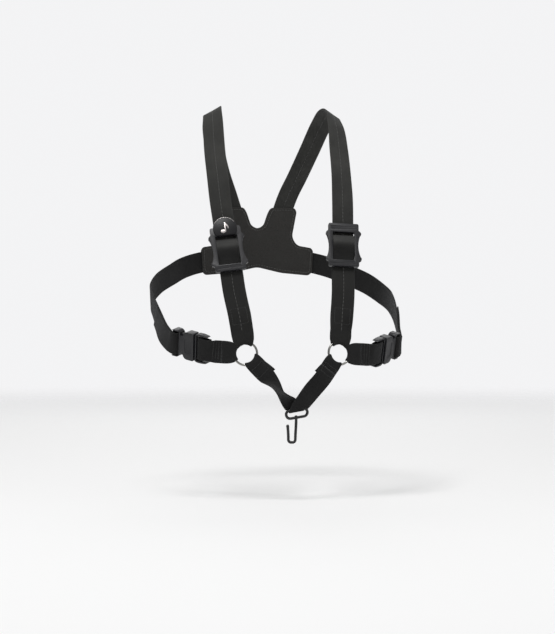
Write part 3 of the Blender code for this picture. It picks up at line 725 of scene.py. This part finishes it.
def side_strap(name, side):
    """From the yoke round the wearer's side to the female half: over its end bar, round its ladder bar
    and back along its own front."""
    leaving = MOUTH[name][2] + 13.5
    route = [
        ((134.5, -61, leaving), (0.9, -0.43, -0.08)),
        ((138.3, -37, -240.5), (0.985, -0.17, 0)),
        ((141.0, -10, -225.5), (1, 0, 0)),
        ((141.6, 11, -217), (0.97, 0.2, 0)),
        ((138, 33, -209), (0.9, 0.42, 0)),
        ((126.5, 56, -197), (0.75, 0.65, 0)),
        ((108, 78, -186), (0.55, 0.83, 0)),
        ((92, 94, -177.5), (0.36, 0.93, 0)),
        ((77, 102, -172.5), (0.1, 1, 0)),
        ((71, 103, -171), (0, 1, 0)),
        ((56, 103, -168.5), (0, 1, 0)),
        ((34, 103, -165), (0, 1, 0)),
    ]
    _, axis, _, facing = buckle_frame(side)

    def weave(x, z, out_x, out_z):
        return station(in_buckle(side, x, 0, z), axis * out_x + facing * out_z, STRAP_WIDTH)

    over_bars = [
        (25.4, 6.6, 0, -1), (21.8, 6.5, 0.3, -1), (20.2, 5.2, 1, -0.4), (19.8, 2.6, 1, 0),
        (19.8, -0.4, 1, 0.1), (20.4, -2.2, 0.7, 0.7), (21.9, -2.9, 0, 1), (23.4, -2.2, -0.7, 0.7),
        (24.0, -0.4, -1, 0.1), (24.0, 2.0, -1, 0), (24.4, 3.7, -1, 0.4), (25.9, 4.5, -0.2, 1),
    ]
    run = smooth([weave(28.2, 4.3, 0.15, 1), *keyed(route, STRAP_WIDTH, side)])
    run_rows = rows_of(run)
    tail = turned_over(run_rows[:26], STRAP_THICK + 0.45)
    tail_end = station(tail[-1][MIDDLE], -run[0][3:6], STRAP_WIDTH)
    woven = rows_of(smooth([tail_end, *(weave(*key) for key in over_bars), run[0]], 1.4))
    rows = [*tail[:-1], *woven[1:-1], *run_rows]
    strap = Strap(
        f"{name}_side_webbing", rows, STRAP_THICK, STRAP, None, "strap_webbing", [f"{name}_side_strap"],
        seed=side + 7,
    )
    tip = [[(-10.2, 3.2), (10.2, 3.2)], [(-10.2, 6.0), (10.2, 6.0)]]
    thread = stitches(f"{name}_side_tail_stitching", strap, tip, 1.9, 0.42, DARK_THREAD)
    for piece in (strap.thing, thread):
        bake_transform(piece)


def slipped(rows):
    """Rows of an inner layer, moved up and inwards towards the free end that they start at."""
    found = []
    for k, row in enumerate(rows):
        across = unit(row[-1] - row[0])
        found.append(row + across * math.copysign(LAYER_SLIP, across[2]) * (1 - k / len(rows)))
    return found


def squared_off(rows, along):
    """Rows whose last few turn until they lie along a direction."""
    found = list(rows)
    for k in range(FOLD_REACH):
        row = rows[-1 - k]
        middle, across = row[MIDDLE], row[-1] - row[0]
        width, across = np.linalg.norm(across), unit(across)
        wanted = along * math.copysign(1, np.dot(across, along))
        across = unit(across * k / FOLD_REACH + wanted * (1 - k / FOLD_REACH))
        found[-1 - k] = middle + np.outer(COLUMNS, across) * width / 2
    return found


def v_strap():
    """Sewn back round both rings and passed through the eye of the hook; its left half is twisted."""
    wire = vec((math.cos(EYE_TILT), 0, math.sin(EYE_TILT)))
    down = vec((wire[2], 0, -wire[0]))
    place = vec(HOOK_PLACE)
    radius = HOOK_WIRE + LAYER_GAP + V_THICK / 2
    fold = half_turn(place, down, vec((0, -1, 0)), radius, 17, 12, wire * -1.0)
    close = (V_THICK + LAYER_GAP) / 2
    parts = {}
    for side in SIDES.values():
        centre, _, ring_face = ring_frame(side)
        toward = square(place - centre, ring_face)
        parts[side] = (centre, toward, ring_face, ring_rows(side, toward, V_THICK, V_WIDTH, 0.80, V_REACH))

    def leave(side, distance):
        centre, toward, ring_face, _ = parts[side]
        return station(centre + toward * distance + ring_face * close, ring_face * side, V_WIDTH)

    def between(flat, end, share, width, forward):
        """A key station part of the way from the flat strap at the ring to the fold at the hook."""
        key = flat * (1 - share) + end * share
        key[6] = width
        key[1] += forward
        return key

    flat, end = leave(1, V_REACH), fold[0]
    low = [between(flat, end, 0.55, V_WIDTH, -1.2), between(flat, end, 0.86, 18, -1.8)]
    right_rows = squared_off(rows_of(smooth([flat, leave(1, 34), *low, end])), wire)
    flat, end = leave(-1, V_REACH), fold[-1]
    low = [between(flat, end, 0.84, 18, 1.8), between(flat, end, 0.58, 19.5, 1.5)]
    left = smooth([end, *low, leave(-1, 34), flat])
    at = distances(np.array(left)[:, :3])
    shown = np.interp(at / at[-1], V_TWIST_AT, V_TWIST_SHOWN)
    shown = np.convolve(np.pad(shown, 2, "edge"), np.ones(5) / 5, "valid")
    left_rows = rows_of(left, twist=np.arccos(np.clip(shown, -1, 1)))
    left_rows = squared_off(left_rows[::-1], wire)[::-1]
    fold_rows = [key[:3] + np.outer(COLUMNS, wire) * key[6] / 2 for key in fold]
    fold_rows = aligned([fold_rows], right_rows[-1])[0]
    front, turn, back = aligned(parts[1][3], right_rows[0])
    right_inner = slipped(turned_over(right_rows[:6], -V_THICK - 0.3))
    rows = right_inner[:-1] + back[::-1] + turn[::-1][1:] + front[::-1][1:]
    ring_end = len(rows)
    rows += right_rows + fold_rows[1:-1] + left_rows
    front, turn, back = aligned(parts[-1][3], left_rows[-1])
    left_inner = slipped(turned_over(left_rows[-6:], V_THICK + 0.3)[::-1])[::-1]
    rows += front[1:] + turn[1:] + back[:-1] + left_inner
    strap = Strap("v_webbing", rows, V_THICK, STRAP, "root", "strap_webbing", ["v_strap"], seed=5)
    start = strap.along[ring_end]
    end = strap.along[ring_end + len(right_rows) + len(fold_rows) - 2 + len(left_rows) - 1]
    for label, box, below in (("right", (start - 4, start + 7), False), ("left", (end - 7, end + 4), True)):
        stitches(f"v_{label}_stitching", strap, box_stitch(7.4, *box), 2.2, 0.45, DARK_THREAD, below)


# ---------------------------------------------------------------- moulded and metal pieces


def outline_mesh(name, outline, low, high):
    bm = bmesh.new()
    face = bm.faces.new([bm.verts.new((x * MM, y * MM, low * MM)) for x, y in outline])
    found = bmesh.ops.extrude_face_region(bm, geom=[face])["geom"]
    lifted = [v for v in found if isinstance(v, bmesh.types.BMVert)]
    bmesh.ops.translate(bm, verts=lifted, vec=(0, 0, (high - low) * MM))
    bmesh.ops.recalc_face_normals(bm, faces=bm.faces)
    mesh = bpy.data.meshes.new(name)
    bm.to_mesh(mesh)
    bm.free()
    return mesh


def block(name, x, y, z):
    return outline_mesh(name, [(x[0], y[0]), (x[1], y[0]), (x[1], y[1]), (x[0], y[1])], *z)


def moulded(name, mesh, changes, width, segments, finish, body, replaced, matrix):
    """Cuts and joins, then rounds every edge, and applies it all. changes are (operation, mesh)."""
    thing = linked(name + "_work", mesh)
    helpers = []
    for operation, part in changes:
        helpers.append(linked(name + "_helper", part))
        step = thing.modifiers.new("change", "BOOLEAN")
        step.operation = operation
        step.solver = "EXACT"
        step.object = helpers[-1]
    thing.modifiers.new("weld", "WELD").merge_threshold = 0.02 * MM
    bevel = thing.modifiers.new("bevel", "BEVEL")
    bevel.width = width * MM
    bevel.segments = segments
    bevel.limit_method = "ANGLE"
    bevel.angle_limit = math.radians(30)
    bevel.use_clamp_overlap = True
    graph = bpy.context.evaluated_depsgraph_get()
    final = bpy.data.meshes.new_from_object(thing.evaluated_get(graph))
    final.transform(matrix)
    for helper in [*helpers, thing]:
        bpy.data.objects.remove(helper)
    mark_wear(final)
    add(name, final, finish, body, replaced, smooth_angle=50)


def frame_matrix(x_axis, y_axis, origin):
    z_axis = np.cross(x_axis, y_axis)
    turn = Matrix((Vector(x_axis), Vector(y_axis), Vector(z_axis))).transposed().to_4x4()
    return Matrix.Translation(Vector(origin * MM)) @ turn


def arc(centre, radius, start, end, steps):
    angles = np.radians(np.linspace(start, end, steps + 1))
    return [(centre[0] + radius * math.cos(a), centre[1] + radius * math.sin(a)) for a in angles]


def rounded(points, radius, steps=5):
    found = []
    for i, corner in enumerate(points):
        here = vec(corner)
        before = vec(points[i - 1]) - here
        after = vec(points[(i + 1) % len(points)]) - here
        reach = min(radius, 0.45 * np.linalg.norm(before), 0.45 * np.linalg.norm(after))
        first, last = here + unit(before) * reach, here + unit(after) * reach
        for k in range(steps + 1):
            t = k / steps
            found.append(tuple(first * (1 - t) ** 2 + here * 2 * t * (1 - t) + last * t**2))
    return found


def slider(name, side):
    body = f"{name}_adjuster"
    place, up, facing = slide_frame(side)
    origin = place + facing * GAP
    matrix = frame_matrix(np.cross(up, facing), up, origin)
    half = [(15.6, 26.4), (16.7, 25.9), (17.2, 24.8), (17.2, 18.2), (19.9, 15.3), (20.1, 13.5)]
    half += arc((53.7, -1.2), 37.1, 157.2, 202.2, 18)
    half += [(20.3, -15.9), (20.0, -18.4), (17.2, -20.1), (17.2, -24.8), (16.7, -25.9), (15.6, -26.4)]
    plate = outline_mesh("plate", half + [(-x, y) for x, y in reversed(half)], 0.05, SLIDER_THICK)

    changes = [("DIFFERENCE", outline_mesh("window", rounded(WINDOW, 1.4), -1, SLIDER_THICK + 1))]
    changes.append(("UNION", block("bar", (-14, 14), (-3.0, 1.5), (1.9, SLIDER_THICK - 0.1))))
    lines = [(19.6, 20.2), (22.4, 23.0)] if side > 0 else []  # the badge covers them on the left
    for span in [*lines, (-23.4, -22.8)]:
        changes.append(("DIFFERENCE", block("line", (-13.5, 13.5), span, (SLIDER_THICK - 0.22, 6))))
    bead = block("bead", (-11.6, 11.6), (-20.1, -19.3), (SLIDER_THICK - 1, SLIDER_THICK + 0.22))
    changes.append(("UNION", bead))
    moulded(f"{name}_slider_frame", plate, changes, 0.45, 3, PLASTIC, body, [f"{name}_slider"], matrix)

    keys = [
        (12.6, 0.75, 0.6), (10.2, 2.3, 0.6), (7.4, 4.2, 0.5), (4.4, 5.5, 0.3), (1.6, 5.9, 0),
        (-1.2, 5.6, -0.2), (-3.8, 4.8, -0.4), (-6.8, 3.4, -0.45), (-10.2, 1.9, -0.35), (-14.0, 1.0, -0.15),
        (-18.5, 0.75, 0),
    ]
    keys = [station(origin + up * y + facing * z, up * lean + facing, WEAVE_WIDTH) for y, z, lean in keys]
    Strap(
        f"{name}_slider_weave", rows_of(smooth(keys, 1.2)), WEAVE_THICK, WEAVE, body, "band_webbing",
        [f"{name}_slider_wrap"], channel=0.1, seed=side + 11,
    )


def badge():
    place, up, facing = slide_frame(-1)
    base = place + facing * (GAP * 2 + SLIDER_THICK) + up * BADGE_UP
    matrix = frame_matrix(np.cross(up, facing), up, base)
    disc = arc((0, 0), BADGE_RADIUS, -BADGE_FOOT, 180 + BADGE_FOOT, 90)
    # The real silver rim runs further round the disc; only its top arc, where it catches the light, is drawn:
    # a painted highlight
    rim = arc((0, 0), 12.85, 30, 150, 90) + arc((0, 0), 12.5, 150, 30, 90)
    note = [(x - 2.4, y * 0.78 - 4.0) for x, y in arc((0, 0), 2.7, 40, 335, 40)]
    note += [(0.9, -4.6), (0.9, 2.6), (2.0, 1.9), (2.7, 0.9), (3.0, -0.2), (3.0, -1.2), (4.0, -1.2)]
    note += [(4.1, 0.6), (3.7, 2.3), (2.7, 3.8), (1.6, 5.0), (0.9, 6.8), (-0.3, 6.8)]
    for name, outline, span, edge, finish, node in (
        ("badge_disc", disc, (0, 1.4), (0.4, 3), GLOSS, "slider_badge"),
        ("badge_rim_glint_arc", rim, (1.35, 1.62), (0.08, 2), SILVER, "badge_rim"),
        ("badge_note_mark", note, (1.35, 1.65), (0.08, 2), SILVER, "badge_note"),
    ):
        moulded(name, outline_mesh(name, outline, *span), [], *edge, finish, "left_adjuster", [node], matrix)


DOME = (0.5, 0.8, 0.95)


def tube(name, path, radius, finish, body, replaced=(), closed=False, sides=20):
    """Round wire along points. radius may be one number or one for each point; open ends are domed."""
    path = np.array(path, float)
    radius = np.broadcast_to(np.array(radius, float), (len(path),)).copy()
    if not closed:
        for _ in range(2):
            path, radius = path[::-1], radius[::-1]
            out = unit(path[-1] - path[-2])
            path = np.concatenate([path, [path[-1] + out * radius[-1] * s for s in DOME]])
            radius = np.concatenate([radius, [radius[-1] * math.sqrt(1 - s * s) for s in DOME]])
    count = len(path)
    points, faces = [], []
    if closed:
        ahead = np.roll(path, -1, 0) - np.roll(path, 1, 0)
    else:
        ahead = np.gradient(path, axis=0)
    reference = square(vec((0.02, -1, 0.03)), unit(ahead[0]))
    for spot, forward, r in zip(path, ahead, radius):
        forward = unit(forward)
        reference = square(reference, forward)
        other = np.cross(forward, reference)
        for q in range(sides):
            a = math.tau * q / sides
            points.append(spot + (reference * math.cos(a) + other * math.sin(a)) * r)
    for i in range(count if closed else count - 1):
        k = (i + 1) % count
        for q in range(sides):
            n = (q + 1) % sides
            faces.append((i * sides + q, i * sides + n, k * sides + n, k * sides + q))
    if not closed:
        faces.append(tuple(range(sides))[::-1])
        faces.append(tuple((count - 1) * sides + q for q in range(sides)))
    mesh = mesh_from(name, points, faces)
    mark_wear(mesh, gain=0.3)
    return add(name, mesh, finish, body, replaced)


def o_ring(name, side):
    centre, up, facing = ring_frame(side)
    across = np.cross(up, facing)
    turns = np.linspace(0, math.tau, 120, endpoint=False)
    path = [centre + RING_RADIUS * (up * math.cos(a) + across * math.sin(a)) for a in turns]
    swell = [RING_WIRE * (1 + 0.05 * math.exp(-(((a - 2.2) / 0.07) ** 2))) for a in turns]
    tube(f"{name}_ring_wire", path, swell, STEEL, f"{name}_ring", [f"{name}_o_ring"], True)


def hook():
    place = vec(HOOK_PLACE)
    turn = np.array([[math.cos(EYE_TILT), -math.sin(EYE_TILT)], [math.sin(EYE_TILT), math.cos(EYE_TILT)]])
    flat = arc((EYE_HALF, -EYE_BEND), EYE_BEND, 90, -90, 22)
    flat += arc((-EYE_HALF, -EYE_BEND), EYE_BEND, -90, -270, 22)
    eye = [place + (p[0], 0, p[1]) for p in (turn @ vec(spot) for spot in flat)]
    tube("hook_eye", eye, HOOK_WIRE, COATED, "hook_swing", ["hook"], True)

    def leg(keys):
        return [(p[0], p[2]) for p in smooth([station((x, 0, z), (0, -1, 0), 1) for x, z in keys], 1.2)]

    path = leg([(0, -8.4), (0, -12), (-0.3, -20), (-0.7, -27), (-0.9, HOOK_BOWL + 1)])[:-1]
    path += arc((-4.0, HOOK_BOWL), 3.1, 0, -90, 12) + arc((-5.6, HOOK_BOWL), 3.1, -90, -180, 12)[1:]
    point = [(-8.7, 0), (-8.8, 5), (-9.1, 10), (-9.5, 15)]
    path += leg([(x, HOOK_BOWL + z) for x, z in point])[1:]
    sizes = np.full(len(path), HOOK_WIRE)
    sizes[:3] = (1.95, 1.75, 1.55)
    sizes[-3:] *= (1.02, 1.06, 1.08)
    tube("hook_stem", [place + (x, 0, z) for x, z in path], sizes, COATED, "hook_swing")


def buckle(name, side):
    mouth, axis, _, facing = buckle_frame(side)
    matrix = frame_matrix(axis, np.cross(facing, axis), mouth) @ Matrix.Scale(DRAWN, 4)

    def body_of(label, half, corner, depth):
        whole = half + [(x, -y) for x, y in reversed(half)]
        return outline_mesh(label, rounded(whole, corner, 4), -depth, depth)

    half = [(0.3, 14.7), (9.3, 14.7), (11.6, 13.6), (13.0, 11.6), (13.3, 9.5), (17.0, 9.5), (17.5, 11.4)]
    half += [(18.6, 13.0), (20.6, 14.3), (26.4, 14.3), (27.5, 13.4)]
    panel = rounded([(2.4, -7.6), (11.2, -7.6), (11.2, 7.6), (2.4, 7.6)], 2.2)
    changes = [
        ("DIFFERENCE", block("socket", (-1, 18.2), (-10.3, 10.3), (-3, 3))),
        ("DIFFERENCE", block("windows", (11.6, 18.2), (-20, 20), (-3, 3))),
        ("DIFFERENCE", block("relief", (18.7, 30), (-13.2, 13.2), (3, 6))),
        ("DIFFERENCE", block("slot", (18.7, 25.2), (-12.9, 12.9), (-6, 6))),
        ("UNION", block("ladder", (21.0, 22.8), (-13.6, 13.6), (-1.2, 2.6))),
        ("DIFFERENCE", outline_mesh("panel", panel, 4.42, 6)),
    ]
    moulded(
        f"{name}_buckle_socket", body_of("female", half, 1.1, 4.7), changes, 0.7, 3, PLASTIC, f"{name}_clip",
        [f"{name}_buckle_female"], matrix,
    )
    half = [(-16.0, 13.9), (-13.4, 14.8), (-8, 15.4), (-3, 15.3), (-0.4, 14.1)]
    bar = rounded([(-7.8, -1.4), (-5.0, -1.4), (-5.0, 1.4), (-7.8, 1.4)], 0.7)
    bar = outline_mesh("bar", bar, -14.8, 14.8)
    bar.transform(Matrix.Rotation(math.radians(90), 4, "X"))
    tongue = [(-2, -2.6), (14, -2.0), (16.3, -1.2), (16.3, 1.2), (14, 2.0), (-2, 2.6)]
    changes = [
        ("DIFFERENCE", block("slot", (-20, -2.3), (-13.7, 13.7), (-6, 6))),
        ("UNION", bar),
        ("UNION", outline_mesh("tongue", tongue, -1.8, 1.8)),
    ]
    moulded(
        f"{name}_buckle_plug", body_of("male", half, 1.4, 3.3), changes, 0.6, 3, PLASTIC, "root",
        [f"{name}_buckle_male"], matrix,
    )
    outline = [(0.1, -1.4), (11.0, -1.1), (17.4, -0.9), (17.8, 1.0), (16.6, 3.2), (12.4, 3.8)]
    outline += [(11.95, 3.6), (11.95, 1.2), (3.0, 1.1), (0.1, 1.4)]
    for level, sign in (("upper", side), ("lower", -side)):
        spring = outline_mesh("prong", [(x, (y + PRONG_ROOT) * sign) for x, y in outline], -2.4, 2.4)
        moulded(
            f"{name}_{level}_prong_spring", spring, [], 0.35, 2, PLASTIC, f"{name}_{level}_spring",
            [f"{name}_prong_{level}"], matrix,
        )


def yoke_outline(shrink=0.0):
    half = [(0, -129), (8, -125), (13, -110), (17, -103), (46, -103), (49, -108), (43, -139), (49, -149)]
    half += [(67, -152), (69.5, -156), (68, -182), (64, -186), (30, -183), (0, -176)]
    whole = half + [(-x, z) for x, z in reversed(half) if x]
    outline = np.array(rounded(whole, 5, 6))
    if shrink:
        ahead = np.roll(outline, -1, 0) - np.roll(outline, 1, 0)
        inward = np.stack([-ahead[:, 1], ahead[:, 0]], 1)
        area = (outline[:, 0] * np.roll(outline[:, 1], -1) - np.roll(outline[:, 0], -1) * outline[:, 1]).sum()
        inward *= math.copysign(1, area) / (np.linalg.norm(inward, axis=1, keepdims=True) + 1e-9)
        outline = outline + inward * shrink
    return outline


class Sheet:
    """A flat piece that stitching can be laid on, in place of a strap. Along is height and across is X."""

    def __init__(self, y, outward, body, slot):
        self.y, self.outward, self.body, self.slot = y, outward, body, slot

    def spot(self, u, v, below=False):
        return vec((u, self.y, v)), vec((0, self.outward, 0))


def yoke():
    turn = Matrix.Rotation(math.radians(90), 4, "X")
    outer_y = YOKE_Y + YOKE_GAP + YOKE_THICK["outer"]
    lining_y = YOKE_Y - YOKE_GAP
    for name, node, label, shrink, y, edge, finish in (
        ("yoke_leather_back", "yoke_outer", "outer", 0.0, outer_y, 0.7, HIDE),
        ("yoke_soft_lining", "yoke_lining", "lining", 0.3, lining_y, 0.5, SUEDE),
    ):
        sheet = outline_mesh(label, yoke_outline(shrink), 0, YOKE_THICK[label])
        place = Matrix.Translation((0, y * MM, 0)) @ turn
        moulded(name, sheet, [], edge, 3, finish, "root", [node], place)
    edge = yoke_outline(3.2)
    seam = simplified([*edge, edge[0]], 3.3)
    outer = Sheet(outer_y, 1, "root", "yoke_leather")
    lining = Sheet(lining_y - YOKE_THICK["lining"], -1, "root", "yoke_lining")
    stitches("yoke_outer_stitching", outer, [seam], 3.3, 0.55)
    stitches("yoke_lining_stitching", lining, [seam], 3.3, 0.55)
    bars = []
    for side in SIDES.values():
        bars += [[(17 * side, -112), (43 * side, -112)], [(17.5 * side, -116), (43.5 * side, -116)]]
        bars += [[(60 * side, -155), (59 * side, -181)], [(56.5 * side, -155), (55.5 * side, -181.5)]]
    stitches("yoke_strap_stitching", outer, bars, 2.4, 0.5)


def simplified(points, step):
    """Points at even steps along a line."""
    points = np.array(points)
    reach = distances(points)
    wanted = np.linspace(0, reach[-1], max(2, round(reach[-1] / step)) + 1)
    return list(zip(*(np.interp(wanted, reach, column).tolist() for column in points.T)))


# ---------------------------------------------------------------- studio


LAMP_AIM = (0, -0.05, -0.2)
LAMPS = [
    ("key", (-0.45, -0.85, 1.75), 0.8, 26),
    ("fill", (1.3, -1.3, 0.2), 1.2, 2.5),
    ("back", (0.3, 1.6, 0.9), 1.4, 9),
]


def studio():
    floor_mesh = bpy.data.meshes.new("studio_floor")
    bm = bmesh.new()
    bmesh.ops.create_circle(bm, cap_ends=True, radius=9, segments=96)
    bm.to_mesh(floor_mesh)
    bm.free()
    floor = linked("studio_floor", floor_mesh)
    floor.location = (0, 0, -0.44)
    n = Nodes("pale floor")
    reach = n.add("ShaderNodeVectorMath", operation="LENGTH")
    n.link(n.place(), reach.inputs[0])
    fade = n.span(reach.outputs["Value"], 0.6, 3.2, 1.0, 0.0, interpolation_type="SMOOTHSTEP")
    n.finish(Base_Color=(0.88, 0.88, 0.88, 1), Roughness=0.9, Alpha=fade)
    floor_mesh.materials.append(n.material)

    bpy.context.scene.view_settings.view_transform = "Standard"
    world = bpy.data.worlds.new("studio")
    bpy.context.scene.world = world
    world.use_nodes = True
    nodes, link = world.node_tree.nodes, world.node_tree.links.new
    backdrop = nodes["Background"]
    backdrop.inputs[0].default_value = (0.9, 0.9, 0.91, 1)
    room = nodes.new("ShaderNodeBackground")
    height = nodes.new("ShaderNodeSeparateXYZ")
    shade = nodes.new("ShaderNodeMapRange")
    for socket, number in zip(shade.inputs[1:5], (-0.35, 0.75, 0.08, 0.6)):
        socket.default_value = number
    either = nodes.new("ShaderNodeMixShader")
    link(nodes.new("ShaderNodeTexCoord").outputs["Generated"], height.inputs[0])
    link(height.outputs[2], shade.inputs[0])
    link(shade.outputs[0], room.inputs[0])
    link(nodes.new("ShaderNodeLightPath").outputs["Is Camera Ray"], either.inputs[0])
    link(room.outputs[0], either.inputs[1])
    link(backdrop.outputs[0], either.inputs[2])
    link(either.outputs[0], nodes["World Output"].inputs[0])

    for name, place, size, power in LAMPS:
        light = bpy.data.lights.new(name, "AREA")
        light.size = size
        light.energy = power
        lamp = linked(name, light)
        lamp.location = place
        lamp.rotation_euler = (Vector(LAMP_AIM) - Vector(place)).to_track_quat("-Z", "Y").to_euler()


def camera():
    forward = vec((0.191, 0.982, 0))
    right = vec((0.982, -0.191, 0))
    place = right * 0.005 + vec((0, 0, -0.237)) - unit(forward) * 2.0
    lens = bpy.data.cameras.new("camera")
    lens.lens = 97.55
    lens.sensor_width = 36
    lens.clip_start = 0.05
    thing = linked("camera", lens)
    thing.location = place
    thing.rotation_euler = Vector(forward).to_track_quat("-Z", "Y").to_euler()
    bpy.context.scene.camera = thing


for name, side in SIDES.items():
    shoulder_band(name, side)
    slider(name, side)
    o_ring(name, side)
    chest_strap(name, side)
    side_strap(name, side)
    buckle(name, side)
v_strap()
badge()
hook()
yoke()
studio()
camera()
